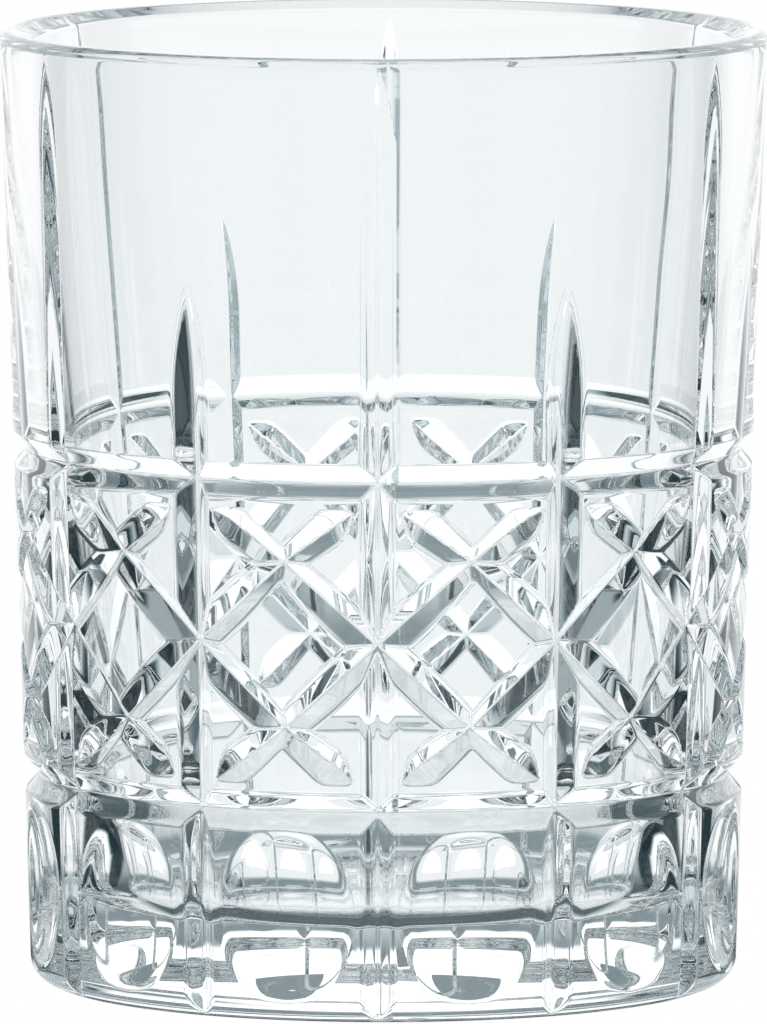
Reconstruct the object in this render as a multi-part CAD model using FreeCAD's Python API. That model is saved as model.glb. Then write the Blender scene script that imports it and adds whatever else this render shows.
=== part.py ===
import FreeCAD, Part
import math
import os

# A whiskey tumbler of clear cut crystal. The whole object is one piece of glass: a heavy base, a tapered
# bowl and a pattern of wheel cuts in the outside. Millimetres, +Z up, origin at the centre of the base on
# the plane that it stands on. A tall upright cut faces -Y.

# Outside of the blank.
HEIGHT = 102.0
BASE_RADIUS = 37.65
RIM_RADIUS = 40.9
FOOT_CORNER = 2.9

# Lip, which slopes in from its crest to the bowl's mouth. The bowl narrows a little from there to its waist
# and more from the waist to the floor. Under the foot is a shallow hollow.
LIP_RADIUS = 0.9
LIP_CREST = {"radius": 39.3, "z": 102.0, "bend": 1.6}
MOUTH = {"radius": 37.1, "z": 101.0, "bend": 0.8}
FLOOR_Z = 9.3
FLOOR_RADIUS = 29.5
FLOOR_FILLET = 3.5
WAIST = {"radius": 36.05, "z": 84.0, "bend": 400.0}
HOLLOW_RADIUS = 29.0
HOLLOW_DEPTH = 0.8

# Cutting wheels: a V edge that leaves flanks at one angle to the wall. The upright cuts run out along the
# large wheel and the petals along the small one; each turns far enough to leave the wall.
FLANK_ANGLE = 42.0
WHEEL = {"radius": 41.0, "turn": 30.0, "rise": 5.0}
PETAL_WHEEL = {"radius": 4.3, "turn": 75.0, "rise": 3.0}

# The upright cuts start this far under the foot, and the slanted cuts run this far past where they meet.
UPRIGHT_START = -2.0
OVERLAP = 0.3

# Pattern: upright cuts and two rings. Between the rings, straight bars join a star on each upright to the
# crossings above and below it, and each bar goes on past its crossing as a short petal.
UPRIGHTS = 12
TALL_CUT = {"depth_low": 1.5, "depth_high": 1.55, "runout_z": 89.6}
SHORT_CUT = {"depth_low": 1.4, "depth_high": 1.85, "runout_z": 65.6}
RINGS = [{"z": 57.35, "depth": 1.55}, {"z": 22.5, "depth": 1.7}]
STAR_Z = 40.15
STAR_DEPTH = 1.6
CROSSINGS_Z = [48.85, 31.25]
CROSSING_DEPTH = 1.25
PETAL_AZIMUTH = 7.0
PETAL_RISE = 3.35
PETAL_DEPTH = 1.7

# Round hollows pressed into the wall between the uprights, under the lower ring.
THUMB_Z = 10.8
THUMB_SPHERE = 22.0
THUMB_DEPTH = 1.85

NODE = "tumbler_glass"
PITCH = 360.0 / UPRIGHTS
WALL_SLOPE = (RIM_RADIUS - BASE_RADIUS) / HEIGHT
AXIS = FreeCAD.Vector(0, 0, 1)
CENTRE = FreeCAD.Vector(0, 0, 0)


def wall_radius(z):
    """Radius of the uncut outside wall at a height."""
    return BASE_RADIUS + WALL_SLOPE * z


def on_ray(azimuth, radius, z):
    """Point at a radius and height. Azimuth 0 faces -Y and turns towards +X."""
    angle = math.radians(azimuth)
    return FreeCAD.Vector(radius * math.sin(angle), -radius * math.cos(angle), z)


def root_point(azimuth, z, depth):
    """Point at a depth under the uncut wall."""
    return on_ray(azimuth, wall_radius(z) - depth, z)


def turned(shape, azimuth):
    """Copy of a shape turned about the glass's axis."""
    return shape.rotated(CENTRE, AXIS, azimuth)


def profile_face(points, radii):
    """Face in the XZ plane from corner points, each corner rounded by its own radius (0 keeps it sharp)."""
    starts, ends, arcs = [], [], []
    count = len(points)
    for i, (corner, radius) in enumerate(zip(points, radii)):
        before = (points[i - 1] - corner).normalize()
        after = (points[(i + 1) % count] - corner).normalize()
        half = before.getAngle(after) / 2
        start = corner + before * (radius / math.tan(half))
        end = corner + after * (radius / math.tan(half))
        middle = corner + (before + after).normalize() * (radius / math.sin(half) - radius)
        starts.append(start)
        ends.append(end)
        arcs.append(Part.Arc(start, middle, end).toShape() if radius else None)
    edges = []
    for i in range(count):
        if arcs[i]:
            edges.append(arcs[i])
        edges.append(Part.LineSegment(ends[i], starts[(i + 1) % count]).toShape())
    return Part.Face(Part.Wire(edges))


def blank():
    """The uncut glass: wall, rounded rim, bowl with a filleted floor, and a hollow under the foot."""
    corners = [
        (0, 0, 0),
        (BASE_RADIUS, 0, FOOT_CORNER),
        (RIM_RADIUS, HEIGHT, LIP_RADIUS),
        (LIP_CREST["radius"], LIP_CREST["z"], LIP_CREST["bend"]),
        (MOUTH["radius"], MOUTH["z"], MOUTH["bend"]),
        (WAIST["radius"], WAIST["z"], WAIST["bend"]),
        (FLOOR_RADIUS, FLOOR_Z, FLOOR_FILLET),
        (0, FLOOR_Z, 0),
    ]
    points = [FreeCAD.Vector(x, 0, z) for x, z, _ in corners]
    glass = profile_face(points, [corner[2] for corner in corners]).revolve(CENTRE, AXIS, 360)
    sphere = (HOLLOW_RADIUS**2 + HOLLOW_DEPTH**2) / (2 * HOLLOW_DEPTH)
    hollow = Part.makeSphere(sphere, FreeCAD.Vector(0, 0, HOLLOW_DEPTH - sphere))
    return glass.cut(hollow)


def vee_face(root, outward, sideways, rise):
    """Triangle across a V cut: its root, and two corners that stand out from it by the rise."""
    spread = rise / math.tan(math.radians(FLANK_ANGLE))
    left = root + outward * rise - sideways * spread
    right = root + outward * rise + sideways * spread
    return Part.Face(Part.makePolygon([root, left, right, root]))


def straight_cut(start, end, azimuth, wheel, runs_out):
    """Tool of a straight V cut between two root points, square to the wall at an azimuth. Its end stops
    square, or runs out along the wheel's edge."""
    along = (end - start).normalize()
    outward = on_ray(azimuth, 1, -WALL_SLOPE)
    outward = (outward - along * outward.dot(along)).normalize()
    sideways = along.cross(outward)
    tool = vee_face(start, outward, sideways, wheel["rise"]).extrude(end - start)
    if runs_out:
        hub = end + outward * wheel["radius"]
        edge = vee_face(end, outward, sideways, wheel["rise"]).revolve(hub, sideways, wheel["turn"])
        tool = tool.fuse(edge).removeSplitter()
    return tool


def upright_cut(depth_low, depth_high, runout_z):
    """Tool of one upright cut, facing -Y."""
    low = root_point(0, 0, depth_low)
    high = root_point(0, runout_z, depth_high)
    start = low + (high - low) * (UPRIGHT_START / runout_z)
    return straight_cut(start, high, 0, WHEEL, True)


def ring_cut(z, depth):
    """Tool of a ring cut: a V turned about the glass's axis, square to the wall."""
    tilt = math.atan(WALL_SLOPE)
    outward = FreeCAD.Vector(math.cos(tilt), 0, -math.sin(tilt))
    up = FreeCAD.Vector(math.sin(tilt), 0, math.cos(tilt))
    root = FreeCAD.Vector(wall_radius(z), 0, z) - outward * depth
    return vee_face(root, outward, up, WHEEL["rise"]).revolve(CENTRE, AXIS, 360)


def slanted_cuts(crossing_z, side):
    """Tools of the bar from a star at azimuth 0 to a crossing half a pitch away, and of its petal."""
    way = math.copysign(1, crossing_z - STAR_Z)
    crossing_azimuth = side * PITCH / 2
    petal_azimuth = crossing_azimuth + side * PETAL_AZIMUTH
    star = root_point(0, STAR_Z, STAR_DEPTH)
    crossing = root_point(crossing_azimuth, crossing_z, CROSSING_DEPTH)
    petal = root_point(petal_azimuth, crossing_z + way * PETAL_RISE, PETAL_DEPTH)
    bar_reach = (crossing - star).normalize() * OVERLAP
    petal_reach = (petal - crossing).normalize() * OVERLAP
    bar_azimuth = crossing_azimuth / 2
    tip_azimuth = (crossing_azimuth + petal_azimuth) / 2
    return [
        straight_cut(star - bar_reach, crossing + bar_reach, bar_azimuth, WHEEL, False),
        straight_cut(crossing - petal_reach, petal, tip_azimuth, PETAL_WHEEL, True),
    ]


def thumb_cut():
    """Tool of one round hollow, facing -Y."""
    distance = wall_radius(THUMB_Z) - THUMB_DEPTH + THUMB_SPHERE
    return Part.makeSphere(THUMB_SPHERE, on_ray(0, distance, THUMB_Z))


def cutting_tools():
    """Every cut in the outside of the glass."""
    tools = [ring_cut(**ring) for ring in RINGS]
    slants = [tool for z in CROSSINGS_Z for side in (1, -1) for tool in slanted_cuts(z, side)]
    thumb = thumb_cut()
    for i in range(UPRIGHTS):
        azimuth = i * PITCH
        kind = SHORT_CUT if i % 2 else TALL_CUT
        tools.append(turned(upright_cut(**kind), azimuth))
        tools.extend(turned(slant, azimuth) for slant in slants)
        tools.append(turned(thumb, azimuth + PITCH / 2))
    return tools


def main():
    os.makedirs("parts", exist_ok=True)
    glass = blank().cut(cutting_tools())
    solid = glass.Solids[0]
    solid.exportStep(f"parts/{NODE}.step")
    print(NODE, len(glass.Solids), "solid, valid", solid.isValid(), round(solid.Volume), "mm3")


main()
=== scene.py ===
import math

import bpy
import numpy as np
from mathutils import Euler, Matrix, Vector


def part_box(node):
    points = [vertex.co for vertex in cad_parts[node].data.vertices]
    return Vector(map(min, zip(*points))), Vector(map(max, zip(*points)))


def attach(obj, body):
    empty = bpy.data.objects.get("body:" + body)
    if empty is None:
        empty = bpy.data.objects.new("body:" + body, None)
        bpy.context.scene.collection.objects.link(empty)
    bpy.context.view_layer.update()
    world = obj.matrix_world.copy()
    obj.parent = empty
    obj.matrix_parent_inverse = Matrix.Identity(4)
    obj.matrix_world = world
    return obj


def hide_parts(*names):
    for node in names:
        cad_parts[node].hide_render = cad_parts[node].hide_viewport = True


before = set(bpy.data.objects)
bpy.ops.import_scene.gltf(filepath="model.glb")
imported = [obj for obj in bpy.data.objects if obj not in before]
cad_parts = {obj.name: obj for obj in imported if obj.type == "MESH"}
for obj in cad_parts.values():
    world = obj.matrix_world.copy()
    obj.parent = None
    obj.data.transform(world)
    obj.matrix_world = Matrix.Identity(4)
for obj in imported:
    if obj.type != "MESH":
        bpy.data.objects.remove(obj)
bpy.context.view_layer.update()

# A tumbler of clear pressed crystal, in metres, standing on the floor at z = 0. The CAD gives its height and
# its dimensions are repeated here. The surface is one smooth closed mesh, worked out as a radius for each
# azimuth and height, with every cut's root and edge softened as fire polish softens them.
MM = 0.001

# Blank. Profile corners are (radius, z), and a bend is the radius that rounds a corner.
glass_low, glass_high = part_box("tumbler_glass")
HEIGHT = glass_high.z - glass_low.z
RIM_RADIUS = 40.9 * MM
BASE_RADIUS = 37.65 * MM
WALL_SLOPE = (RIM_RADIUS - BASE_RADIUS) / HEIGHT
FOOT_CORNER = 2.9 * MM
LIP_RADIUS = 0.9 * MM
LIP_CREST = (39.3 * MM, HEIGHT)
LIP_CREST_BEND = 1.6 * MM
MOUTH = (37.1 * MM, 101.0 * MM)
MOUTH_BEND = 0.8 * MM
FLOOR_Z = 9.3 * MM
FLOOR_RADIUS = 29.5 * MM
FLOOR_FILLET = 3.5 * MM
WAIST = (36.05 * MM, 84.0 * MM)
WAIST_BEND = 400.0 * MM
HOLLOW_RADIUS = 29.0 * MM
HOLLOW_DEPTH = 0.8 * MM

# Cuts. An upright is (depth at the foot, depth at its run-out, z of its run-out), and a ring is (z, depth).
UPRIGHTS = 12
PITCH = 2 * math.pi / UPRIGHTS
FLANK = math.tan(math.radians(42.0))
WHEEL_RADIUS = 41.0 * MM
TALL_CUT = (1.5 * MM, 1.55 * MM, 89.6 * MM)
SHORT_CUT = (1.4 * MM, 1.85 * MM, 65.6 * MM)
RINGS = ((57.35 * MM, 1.55 * MM), (22.5 * MM, 1.7 * MM))
STAR_Z = 40.15 * MM
CROSSINGS_Z = (48.85 * MM, 31.25 * MM)
STAR_DEPTH = 1.6 * MM
CROSSING_DEPTH = 1.25 * MM
PETAL_AZIMUTH = math.radians(7.0)
PETAL_RISE = 3.35 * MM
PETAL_DEPTH = 1.7 * MM
PETAL_WHEEL = 4.3 * MM
THUMB_Z = 10.8 * MM
THUMB_SPHERE = 22.0 * MM
THUMB_DEPTH = 1.85 * MM
POLISH = 0.35 * MM

# A cut's square end rises this steeply, inside the cut that it meets. Where a cut doesn't reach, its radius
# is one far outside the glass.
END_STEEPNESS = 3.0
NO_CUT = 1.0

# Mesh fineness: columns between a star and a crossing, and coarser columns for the plain inside. In the band
# with the lattice the rows meet each star and crossing; below and above it they are a plain step apart.
CELL_COLUMNS = 36
COLUMNS = CELL_COLUMNS * 2 * UPRIGHTS
INNER_COLUMNS = 216
LATTICE_BAND = (19.2 * MM, 60.5 * MM)
FOOT_STEP = 0.36 * MM
BOWL_STEP = 0.55 * MM
FOOT_ROWS, LIP_ROWS, CREST_ROWS, MOUTH_ROWS = 14, 12, 9, 12
UPPER_ROWS, WAIST_ROWS, LOWER_ROWS, FILLET_ROWS, FLOOR_ROWS = 12, 25, 35, 13, 20
STANDING_ROWS, HOLLOW_ROWS = 5, 24
STANDING_RADIUS = BASE_RADIUS - FOOT_CORNER * 0.96
NORMAL_STEP = 0.02 * MM

# Glass, its slow surface waves, and the scuffs under its foot.
GLASS_TINT = (0.975, 0.993, 0.998, 1)
GLASS_IOR = 1.52
WAVE_SCALE = 45.0
WAVE_DETAIL = 1.0
WAVE_DEPTH = 0.06 * MM
SCUFF_SCALE = 900.0
SCUFF_DETAIL = 4.0
SCUFF_SPREAD = (0.45, 0.75)
SCUFF_Z = (0.25 * MM, 0.05 * MM)
SCUFF_ROUGHNESS = 0.4

# Studio: tones from its dark cards to its white sheet, and each part's level between the two. Edges are where
# a part fades in, as (dark at, light at): degrees round from +Y, degrees up, or metres on the floor.
TONES = (
    (0.0, (0.010, 0.023, 0.028, 1)),
    (0.2, (0.13, 0.18, 0.20, 1)),
    (0.6, (0.53, 0.60, 0.62, 1)),
    (1.0, (1.0, 1.0, 1.0, 1)),
)
SHEET_STRENGTH = 1.25
SHEET_EDGE = (58.0, 44.0)
SHEET_TOP = (36.0, 24.0)
OVERHEAD = 0.8
OVERHEAD_EDGE = (58.0, 66.0)
ROOM = 0.6
ROOM_EDGE = (80.0, 88.0)
ROOM_TOP = (40.0, 24.0)
FLOOR_SIZE = 6.0
FLOOR_GAP = 0.05 * MM
# The floor glows at these levels, which are painted light and shade: bright behind, dark at the sides, pale
# in front.
FLOOR_BEHIND_EDGE = (62.0, 48.0)
FLOOR_SIDE = 0.02
FLOOR_FRONT = 0.42
# Painted shade on the floor close to the glass's foot: its level there, and where the shade fades out.
FLOOR_NEAR_SHADE = 0.3
FLOOR_NEAR_SHADE_EDGE = (0.02, 0.13)
# A painted pool of light on the floor under the glass. It is cut off at the front, which leaves painted
# shadow under the front of the foot.
FLOOR_UNDER_LIGHT_POOL = 0.88
FLOOR_LIGHT_POOL_EDGE = (0.044, 0.036)
FLOOR_LIGHT_POOL_FRONT = (-0.022, -0.012)

# Light passes through and is reflected inside the cuts many times before it leaves the glass.
BOUNCES = 32

# Camera: a long lens a little above the rim, tipped down. Angles are in degrees.
LENS = 661.9
SENSOR = 36.0
CLIP_END = 20.0
CAMERA_DISTANCE = 1.998
CAMERA_HEIGHT = 0.2643
CAMERA_AZIMUTH = 0.983
CAMERA_TIP = 6.116


def wall_radius(z):
    """Radius of the uncut outside wall at a height."""
    return BASE_RADIUS + WALL_SLOPE * z


def soft_max(a, b, width):
    """The larger of a and b, rounded where they meet."""
    blend = np.maximum(width - np.abs(a - b), 0) / width
    return np.maximum(a, b) + blend * blend * width / 4


def soft_min(a, b, width):
    """The smaller of a and b, rounded where they meet."""
    return -soft_max(-a, -b, width)


def azimuth_gap(azimuth, centre):
    """Signed angle from a centre line, within half a turn."""
    return (azimuth - centre + math.pi) % (2 * math.pi) - math.pi


def upright_cut(azimuth, z, centre, cut):
    """Radius that an upright cut leaves: a straight root, then the wheel's own arc out of the wall."""
    depth_low, depth_high, runout_z = cut
    low = wall_radius(0) - depth_low
    high = wall_radius(runout_z) - depth_high
    gap = azimuth_gap(azimuth, centre)
    side = np.abs(wall_radius(z) * np.sin(gap))
    side = np.sqrt(side * side + (POLISH / 2) ** 2)
    straight = low + (high - low) * z / runout_z + side * FLANK
    edge = np.maximum(WHEEL_RADIUS - side * FLANK, 0)
    past = np.clip(z - runout_z, 0, None)
    lift = edge - np.sqrt(np.maximum(edge * edge - past * past, 0))
    radius = (straight + lift) / np.cos(gap)
    return np.where((np.abs(gap) < PITCH) & (past < edge), radius, NO_CUT)


def ring_cut(z, centre_z, depth):
    """Radius that a ring cut leaves."""
    side = np.sqrt((z - centre_z) ** 2 + (POLISH / 2) ** 2)
    return wall_radius(z) - depth + side * FLANK


def wall_point(azimuth, z, depth):
    """Point at a depth under the blank's wall. Azimuth 0 faces -Y here and turns towards +X."""
    radius = wall_radius(z) - depth
    return np.array([radius * math.sin(azimuth), -radius * math.cos(azimuth), z])


def slanted_cut(azimuth, z, start, end, wheel):
    """Radius that a straight cut leaves between two root points, each an (azimuth, z, depth). It ends square
    at the start, and at the end runs out along a wheel's arc, or square where wheel is 0."""
    low, high = wall_point(*start), wall_point(*end)
    middle_azimuth = (start[0] + end[0]) / 2
    length = np.linalg.norm(high - low)
    along = (high - low) / length
    outward = np.array([math.sin(middle_azimuth), -math.cos(middle_azimuth), -WALL_SLOPE])
    outward -= along * (outward @ along)
    outward /= np.linalg.norm(outward)
    across = np.cross(along, outward)
    gap = azimuth_gap(azimuth, middle_azimuth)
    ray_x, ray_y = np.sin(azimuth), -np.cos(azimuth)
    skin = wall_radius(z) - STAR_DEPTH / 2
    skin_x, skin_y = skin * ray_x - low[0], skin * ray_y - low[1]
    travel = skin_x * along[0] + skin_y * along[1] + (z - low[2]) * along[2]
    side = np.abs(skin_x * across[0] + skin_y * across[1] + (z - low[2]) * across[2])
    past = np.maximum(travel - length, 0)
    if wheel:
        edge = np.maximum(wheel - side * FLANK, 0)
        lift = edge - np.sqrt(np.maximum(edge * edge - past * past, 0))
        lift = np.where(past < edge, lift, NO_CUT)
    else:
        lift = past * END_STEEPNESS
    lift = lift + np.maximum(-travel, 0) * END_STEEPNESS
    flanks = []
    for way in (1, -1):
        plane = outward - way * FLANK * across
        reach = ray_x * plane[0] + ray_y * plane[1]
        flanks.append((low @ plane + lift - z * plane[2]) / np.maximum(reach, 1e-6))
    radius = soft_max(flanks[0], flanks[1], POLISH / 2)
    return np.where(np.abs(gap) < PITCH, radius, NO_CUT)


def thumb_cut(azimuth, z, centre):
    """Radius that a round hollow leaves."""
    distance = wall_radius(THUMB_Z) - THUMB_DEPTH + THUMB_SPHERE
    gap = azimuth_gap(azimuth, centre)
    inside = THUMB_SPHERE**2 - (distance * np.sin(gap)) ** 2 - (z - THUMB_Z) ** 2
    radius = distance * np.cos(gap) - np.sqrt(np.maximum(inside, 0))
    return np.where((np.abs(gap) < PITCH) & (inside > 0), radius, NO_CUT)


def cut_radius(azimuth, z, blank_radius):
    """Radius of the finished outside: the blank with every cut taken out, in the same shape as azimuth."""
    radius = np.broadcast_to(blank_radius, azimuth.shape).copy()
    for ring_z, depth in RINGS:
        radius = soft_min(radius, ring_cut(z, ring_z, depth), POLISH)
    for i in range(UPRIGHTS):
        centre = i * PITCH
        kind = SHORT_CUT if i % 2 else TALL_CUT
        radius = soft_min(radius, upright_cut(azimuth, z, centre, kind), POLISH)
        radius = soft_min(radius, thumb_cut(azimuth, z, centre + PITCH / 2), POLISH)
        for crossing_z in CROSSINGS_Z:
            way = math.copysign(1, crossing_z - STAR_Z)
            for side in (1, -1):
                star = (centre, STAR_Z, STAR_DEPTH)
                crossing = (centre + side * PITCH / 2, crossing_z, CROSSING_DEPTH)
                radius = soft_min(radius, slanted_cut(azimuth, z, star, crossing, 0), POLISH)
                petal = (crossing[0] + side * PETAL_AZIMUTH, crossing_z + way * PETAL_RISE, PETAL_DEPTH)
                radius = soft_min(radius, slanted_cut(azimuth, z, crossing, petal, PETAL_WHEEL), POLISH)
    return radius


def corner_arc(before, corner, after, radius, count):
    """Points of the arc that rounds a corner of the profile."""
    before, corner, after = (np.array(p) for p in (before, corner, after))
    to_before = (before - corner) / np.linalg.norm(before - corner)
    to_after = (after - corner) / np.linalg.norm(after - corner)
    half = math.acos(np.clip(to_before @ to_after, -1, 1)) / 2
    bisector = (to_before + to_after) / np.linalg.norm(to_before + to_after)
    centre = corner + bisector * radius / math.sin(half)
    start = corner + to_before * radius / math.tan(half) - centre
    end = corner + to_after * radius / math.tan(half) - centre
    first, last = (math.atan2(v[1], v[0]) for v in (start, end))
    turn = (last - first + math.pi) % (2 * math.pi) - math.pi
    angles = first + turn * np.linspace(0, 1, count)
    return [tuple(centre + radius * np.array([math.cos(a), math.sin(a)])) for a in angles]


def rows(start, end, step):
    """Evenly spaced heights from start to end, without the last."""
    count = max(1, round(abs(end - start) / step))
    return list(np.linspace(start, end, count, endpoint=False))


def straight(start, end, count):
    """Points between two profile points, without either."""
    steps = np.linspace(0, 1, count + 2)[1:-1]
    return [(start[0] + (end[0] - start[0]) * t, start[1] + (end[1] - start[1]) * t) for t in steps]


def outside_profile():
    """(radius, z) of the blank from the foot's standing ring, up the wall and over the lip."""
    foot, rim = (BASE_RADIUS, 0.0), (RIM_RADIUS, HEIGHT)
    low = corner_arc((0, 0), foot, rim, FOOT_CORNER, FOOT_ROWS)
    lip = corner_arc(foot, rim, LIP_CREST, LIP_RADIUS, LIP_ROWS)
    over = corner_arc(rim, LIP_CREST, MOUTH, LIP_CREST_BEND, CREST_ROWS)
    over += corner_arc(LIP_CREST, MOUTH, WAIST, MOUTH_BEND, MOUTH_ROWS)
    upper_step = (CROSSINGS_Z[0] - STAR_Z) / CELL_COLUMNS
    lower_step = (STAR_Z - CROSSINGS_Z[1]) / CELL_COLUMNS
    band_low = CROSSINGS_Z[1] - round((CROSSINGS_Z[1] - LATTICE_BAND[0]) / lower_step) * lower_step
    band_top = CROSSINGS_Z[0] + round((LATTICE_BAND[1] - CROSSINGS_Z[0]) / upper_step) * upper_step
    heights = rows(low[-1][1], LATTICE_BAND[0], FOOT_STEP)[1:]
    heights += rows(band_low, STAR_Z, lower_step)
    heights += rows(STAR_Z, band_top, upper_step)
    heights += rows(band_top, lip[0][1], BOWL_STEP)
    wall = [(wall_radius(z), z) for z in heights]
    return low + wall + lip + over


def inside_profile():
    """(radius, z) of the bowl, from under the lip down to near the middle of its floor."""
    corner = (FLOOR_RADIUS, FLOOR_Z)
    top = corner_arc(LIP_CREST, MOUTH, WAIST, MOUTH_BEND, 2)[-1]
    waist = corner_arc(MOUTH, WAIST, corner, WAIST_BEND, WAIST_ROWS)
    fillet = corner_arc(WAIST, corner, (0, FLOOR_Z), FLOOR_FILLET, FILLET_ROWS)
    upper = straight(top, waist[0], UPPER_ROWS)
    lower = straight(waist[-1], fillet[0], LOWER_ROWS)
    floor = [(r, FLOOR_Z) for r in np.linspace(fillet[-1][0], 0, FLOOR_ROWS)[1:-1]]
    return upper + waist + lower + fillet + floor


def foot_profile():
    """(radius, z) under the foot, from inside the standing ring's edge to near the middle of the hollow."""
    sphere = (HOLLOW_RADIUS**2 + HOLLOW_DEPTH**2) / (2 * HOLLOW_DEPTH)
    ring = [(r, 0.0) for r in np.linspace(STANDING_RADIUS, HOLLOW_RADIUS, STANDING_ROWS)[1:-1]]
    hollow_radii = np.linspace(HOLLOW_RADIUS, 0, HOLLOW_ROWS)[:-1]
    hollow = [(r, HOLLOW_DEPTH - sphere + math.sqrt(sphere**2 - r**2)) for r in hollow_radii]
    return ring + hollow


def ring_points(radius, z):
    """Points of one row of the inside or the foot."""
    angles = np.arange(INNER_COLUMNS) * 2 * math.pi / INNER_COLUMNS
    return np.stack([radius * np.sin(angles), -radius * np.cos(angles), np.full(INNER_COLUMNS, z)], 1)


def grid_triangles(start, leans_up):
    """Triangles of a closed band of rows, from its first vertex number and which way each cell's diagonal
    goes."""
    cells, columns = leans_up.shape
    i, j = np.meshgrid(np.arange(cells), np.arange(columns), indexing="ij")
    k = (j + 1) % columns
    a, b = start + i * columns + j, start + i * columns + k
    d, c = start + (i + 1) * columns + j, start + (i + 1) * columns + k
    rising = np.stack([np.stack([a, b, c], -1), np.stack([a, c, d], -1)], 2)
    falling = np.stack([np.stack([a, b, d], -1), np.stack([b, c, d], -1)], 2)
    return np.where(leans_up[:, :, None, None], rising, falling).reshape(-1, 3)


def fan(outer, inner):
    """Triangles between two closed rings of vertex numbers, the first with an even multiple of the second."""
    ratio = len(outer) // len(inner)
    made = []
    for j, here in enumerate(inner):
        after = inner[(j + 1) % len(inner)]
        for s in range(ratio):
            first = outer[j * ratio + s]
            second = outer[(j * ratio + s + 1) % len(outer)]
            made.append((first, second, here if s < ratio // 2 else after))
            if s == ratio // 2 - 1:
                made.append((here, second, after))
    return made


def lid(profile, middle_z, edge_row, start):
    """Points and triangles that close the outside at one of its edge rows: a fan down to coarser columns,
    rows along a profile, and a point in the middle. They are numbered from start."""
    rings = np.concatenate([ring_points(radius, z) for radius, z in profile])
    outer = [edge_row * COLUMNS + j for j in range(COLUMNS)]
    joint = fan(outer, [start + j for j in range(INNER_COLUMNS)])
    band = grid_triangles(start, np.ones((len(profile) - 1, INNER_COLUMNS), bool))
    middle = start + len(rings)
    last = middle - INNER_COLUMNS
    cap = [(last + j, last + (j + 1) % INNER_COLUMNS, middle) for j in range(INNER_COLUMNS)]
    return np.concatenate([rings, [[0, 0, middle_z]]]), np.concatenate([joint, band, cap])


def on_wall(turn, level, surface):
    """Points at azimuths, heights and radii."""
    return np.stack([surface * np.sin(turn), -surface * np.cos(turn), level], -1)


def wall_normals(profile, turn, level):
    """True outward directions of the finished outside, from small steps along it both ways."""
    radii = profile[:, :1]
    run = np.gradient(profile, axis=0)
    run = run / np.linalg.norm(run, axis=1)[:, None] * NORMAL_STEP
    out, up = run[:, :1], run[:, 1:]
    swing = NORMAL_STEP / RIM_RADIUS
    above = on_wall(turn, level + up, cut_radius(turn, level + up, radii + out))
    below = on_wall(turn, level - up, cut_radius(turn, level - up, radii - out))
    ahead = on_wall(turn + swing, level, cut_radius(turn + swing, level, radii))
    behind = on_wall(turn - swing, level, cut_radius(turn - swing, level, radii))
    normals = np.cross(ahead - behind, above - below)
    return normals / np.linalg.norm(normals, axis=-1, keepdims=True)


def triangle_mesh(name, points, triangles):
    """Smooth mesh from arrays of points and of vertex numbers."""
    mesh = bpy.data.meshes.new(name)
    mesh.vertices.add(len(points))
    mesh.vertices.foreach_set("co", points.astype(np.float32).ravel())
    mesh.loops.add(len(triangles) * 3)
    mesh.loops.foreach_set("vertex_index", triangles.astype(np.int32).ravel())
    mesh.polygons.add(len(triangles))
    mesh.polygons.foreach_set("loop_start", np.arange(0, len(triangles) * 3, 3, dtype=np.int32))
    mesh.update(calc_edges=True)
    mesh.shade_smooth()
    return mesh


def build_glass():
    """The whole glass as one closed mesh: the outside, then the bowl and the underside that close it."""
    profile = np.array(outside_profile())
    azimuths = np.arange(COLUMNS) * 2 * math.pi / COLUMNS
    radii, heights = profile[:, :1], profile[:, 1:]
    turn = np.broadcast_to(azimuths[None, :], (len(profile), COLUMNS))
    level = np.broadcast_to(heights, turn.shape)
    surface = cut_radius(turn, level, radii)
    outside = on_wall(turn, level, surface).reshape(-1, 3)

    # Each cell's diagonal runs along the cut or the edge that crosses it.
    middle = cut_radius(
        turn[:-1] + math.pi / COLUMNS, (level[1:] + level[:-1]) / 2, (radii[1:] + radii[:-1]) / 2
    )
    right = np.roll(surface, -1, 1)
    rising = np.abs((surface[:-1] + right[1:]) / 2 - middle)
    falling = np.abs((right[:-1] + surface[1:]) / 2 - middle)

    bowl, bowl_faces = lid(inside_profile(), FLOOR_Z, len(profile) - 1, len(outside))
    foot, foot_faces = lid(foot_profile(), HOLLOW_DEPTH, 0, len(outside) + len(bowl))
    points = np.concatenate([outside, bowl, foot])
    wall_faces = grid_triangles(0, rising <= falling)
    mesh = triangle_mesh("tumbler", points, np.concatenate([wall_faces, bowl_faces, foot_faces[:, ::-1]]))

    normals = np.empty(len(points) * 3, np.float32)
    mesh.vertex_normals.foreach_get("vector", normals)
    normals = normals.reshape(-1, 3)
    normals[: len(outside)] = wall_normals(profile, turn, level).reshape(-1, 3)
    mesh.normals_split_custom_set_from_vertices(normals)
    body = bpy.data.objects.new("tumbler_glass_body", mesh)
    bpy.context.scene.collection.objects.link(body)
    return body


def maths(tree, operation, *values):
    """Math node; each value is a number or a socket."""
    node = tree.nodes.new("ShaderNodeMath")
    node.operation = operation
    for socket, value in zip(node.inputs, values):
        if isinstance(value, bpy.types.NodeSocket):
            tree.links.new(value, socket)
        else:
            socket.default_value = value
    return node.outputs[0]


def product(tree, first, second):
    return maths(tree, "MULTIPLY", first, second)


def larger(tree, first, second):
    return maths(tree, "MAXIMUM", first, second)


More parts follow.
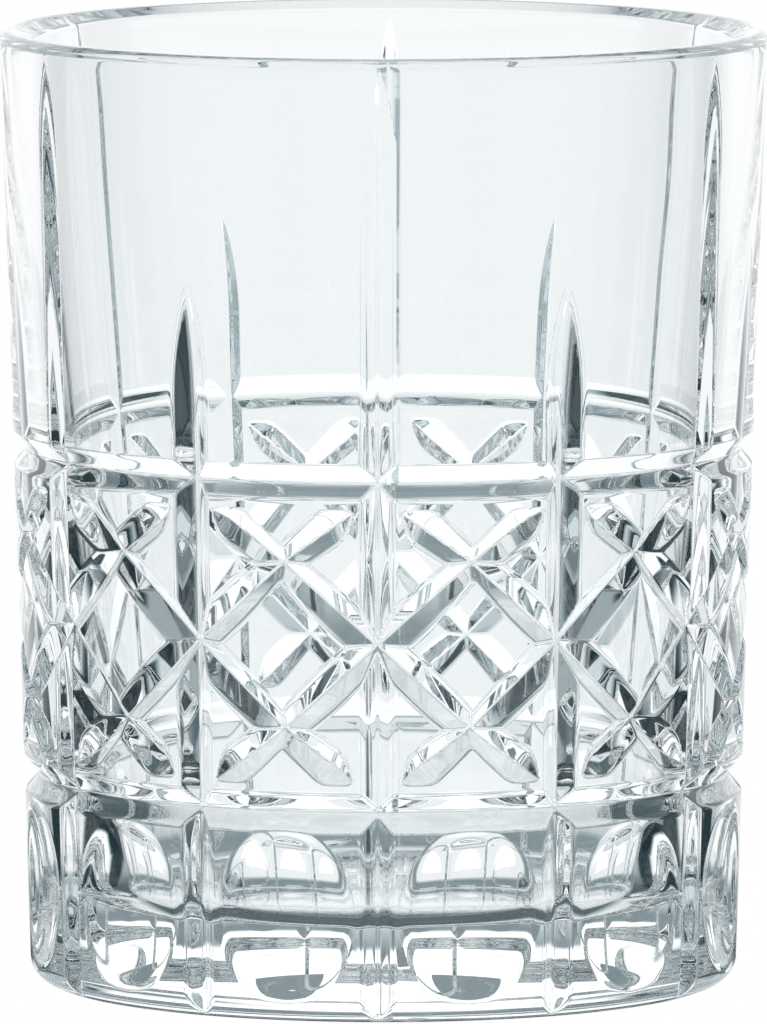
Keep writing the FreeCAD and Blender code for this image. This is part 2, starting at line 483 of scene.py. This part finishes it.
def fade(tree, value, dark_at, light_at):
    """0 to 1 as the value goes from one number to the other."""
    node = tree.nodes.new("ShaderNodeMapRange")
    node.interpolation_type = "SMOOTHSTEP"
    tree.links.new(value, node.inputs["Value"])
    node.inputs["From Min"].default_value = dark_at
    node.inputs["From Max"].default_value = light_at
    return node.outputs["Result"]


def noise(tree, coordinates, scale, detail):
    """Cloudy noise from 0 to 1."""
    node = tree.nodes.new("ShaderNodeTexNoise")
    tree.links.new(coordinates, node.inputs["Vector"])
    node.inputs["Scale"].default_value = scale
    node.inputs["Detail"].default_value = detail
    return node.outputs["Fac"]


def glass_material():
    """Clear crystal, faintly green blue, with the slow waves of a polished pressing. The ring that it stands
    on is scuffed by tables, and the rest is bright."""
    material = bpy.data.materials.new("clear_crystal")
    material.use_nodes = True
    tree = material.node_tree
    shader = tree.nodes["Principled BSDF"]
    shader.inputs["Base Color"].default_value = GLASS_TINT
    shader.inputs["Transmission Weight"].default_value = 1.0
    shader.inputs["IOR"].default_value = GLASS_IOR
    place = tree.nodes.new("ShaderNodeTexCoord").outputs["Object"]
    bump = tree.nodes.new("ShaderNodeBump")
    bump.inputs["Strength"].default_value = 1.0
    bump.inputs["Distance"].default_value = WAVE_DEPTH
    tree.links.new(noise(tree, place, WAVE_SCALE, WAVE_DETAIL), bump.inputs["Height"])
    tree.links.new(bump.outputs["Normal"], shader.inputs["Normal"])
    parts = tree.nodes.new("ShaderNodeSeparateXYZ")
    tree.links.new(place, parts.inputs[0])
    foot = fade(tree, parts.outputs["Z"], *SCUFF_Z)
    scuffs = fade(tree, noise(tree, place, SCUFF_SCALE, SCUFF_DETAIL), *SCUFF_SPREAD)
    roughness = product(tree, product(tree, foot, scuffs), SCUFF_ROUGHNESS)
    tree.links.new(roughness, shader.inputs["Roughness"])
    return material


def bearing(tree, vector):
    """Degrees that a direction or a place lies round from +Y, which is behind the glass, and its X, Y, Z."""
    parts = tree.nodes.new("ShaderNodeSeparateXYZ")
    tree.links.new(vector, parts.inputs[0])
    x, y, z = parts.outputs
    turn = maths(tree, "ARCTAN2", maths(tree, "ABSOLUTE", x), y)
    return product(tree, turn, 180 / math.pi), x, y, z


def studio_colour(tree, level):
    """Colour of the studio at a level from 0, dark, to 1, white. It is white where it is seen directly."""
    seen = tree.nodes.new("ShaderNodeLightPath").outputs["Is Camera Ray"]
    ramp = tree.nodes.new("ShaderNodeValToRGB")
    tree.links.new(larger(tree, level, seen), ramp.inputs["Fac"])
    stops = ramp.color_ramp.elements
    for place, _ in TONES[1:-1]:
        stops.new(place)
    for stop, (place, colour) in zip(stops, TONES):
        stop.position, stop.color = place, colour
    return ramp.outputs["Color"]


def build_floor():
    """Floor that glows, white where the camera sees it. Through the glass its glow is painted light and
    shade: bright behind, dark at the sides, pale in front, with painted shade close to the foot, a painted
    pool of light under the glass and painted shadow under its front.
    """
    mesh = bpy.data.meshes.new("floor")
    corners = [(-FLOOR_SIZE, -FLOOR_SIZE, 0), (FLOOR_SIZE, -FLOOR_SIZE, 0)]
    corners += [(FLOOR_SIZE, FLOOR_SIZE, 0), (-FLOOR_SIZE, FLOOR_SIZE, 0)]
    mesh.from_pydata(corners, [], [(0, 1, 2, 3)])
    floor = bpy.data.objects.new("floor", mesh)
    floor.location.z = glass_low.z - FLOOR_GAP
    bpy.context.scene.collection.objects.link(floor)
    material = bpy.data.materials.new("floor_painted_light_and_shade")
    material.use_nodes = True
    tree = material.node_tree
    tree.nodes.clear()
    place = tree.nodes.new("ShaderNodeNewGeometry").outputs["Position"]
    azimuth, x, y, _ = bearing(tree, place)
    radius = maths(tree, "SQRT", maths(tree, "ADD", product(tree, x, x), product(tree, y, y)))
    behind = fade(tree, azimuth, *FLOOR_BEHIND_EDGE)
    front = product(tree, fade(tree, azimuth, *ROOM_EDGE), FLOOR_FRONT)
    level = larger(tree, larger(tree, behind, front), FLOOR_SIDE)
    # Painted shade: the floor dims close to the foot.
    level = product(tree, level, larger(tree, fade(tree, radius, *FLOOR_NEAR_SHADE_EDGE), FLOOR_NEAR_SHADE))
    # Painted pool of light under the glass, with painted shadow left under its front.
    under = product(tree, fade(tree, radius, *FLOOR_LIGHT_POOL_EDGE), fade(tree, y, *FLOOR_LIGHT_POOL_FRONT))
    level = larger(tree, level, product(tree, under, FLOOR_UNDER_LIGHT_POOL))
    emission = tree.nodes.new("ShaderNodeEmission")
    tree.links.new(studio_colour(tree, level), emission.inputs["Color"])
    output = tree.nodes.new("ShaderNodeOutputMaterial")
    tree.links.new(emission.outputs[0], output.inputs["Surface"])
    mesh.materials.append(material)


def build_world():
    """A white sheet behind the glass, a soft light overhead, a pale room in front, and dark cards between."""
    world = bpy.data.worlds.new("studio")
    bpy.context.scene.world = world
    world.use_nodes = True
    tree = world.node_tree
    tree.nodes.clear()
    direction = tree.nodes.new("ShaderNodeTexCoord").outputs["Generated"]
    azimuth, _, _, z = bearing(tree, direction)
    elevation = product(tree, maths(tree, "ARCSINE", z), 180 / math.pi)
    sheet = product(tree, fade(tree, azimuth, *SHEET_EDGE), fade(tree, elevation, *SHEET_TOP))
    overhead = product(tree, fade(tree, elevation, *OVERHEAD_EDGE), OVERHEAD)
    room = product(tree, fade(tree, azimuth, *ROOM_EDGE), fade(tree, elevation, *ROOM_TOP))
    level = larger(tree, larger(tree, sheet, overhead), product(tree, room, ROOM))
    back = tree.nodes.new("ShaderNodeBackground")
    tree.links.new(studio_colour(tree, level), back.inputs["Color"])
    back.inputs["Strength"].default_value = SHEET_STRENGTH
    output = tree.nodes.new("ShaderNodeOutputWorld")
    tree.links.new(back.outputs[0], output.inputs["Surface"])


def build_camera():
    """Camera in front of the glass, at -Y, and the scene's own."""
    data = bpy.data.cameras.new("camera")
    data.sensor_width = SENSOR
    data.lens = LENS
    data.clip_end = CLIP_END
    camera = bpy.data.objects.new("camera", data)
    azimuth = math.radians(CAMERA_AZIMUTH)
    across, back = CAMERA_DISTANCE * math.sin(azimuth), CAMERA_DISTANCE * math.cos(azimuth)
    camera.location = (across, -back, CAMERA_HEIGHT)
    camera.rotation_euler = Euler((math.radians(90 - CAMERA_TIP), 0, azimuth), "XYZ")
    bpy.context.scene.collection.objects.link(camera)
    bpy.context.scene.camera = camera


scene = bpy.context.scene
scene.view_settings.view_transform = "Standard"
scene.cycles.max_bounces = BOUNCES
scene.cycles.transmission_bounces = BOUNCES
scene.cycles.glossy_bounces = BOUNCES
build_camera()
build_world()
build_floor()
glass = build_glass()
glass.data.materials.append(glass_material())
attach(glass, "root")
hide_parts("tumbler_glass")
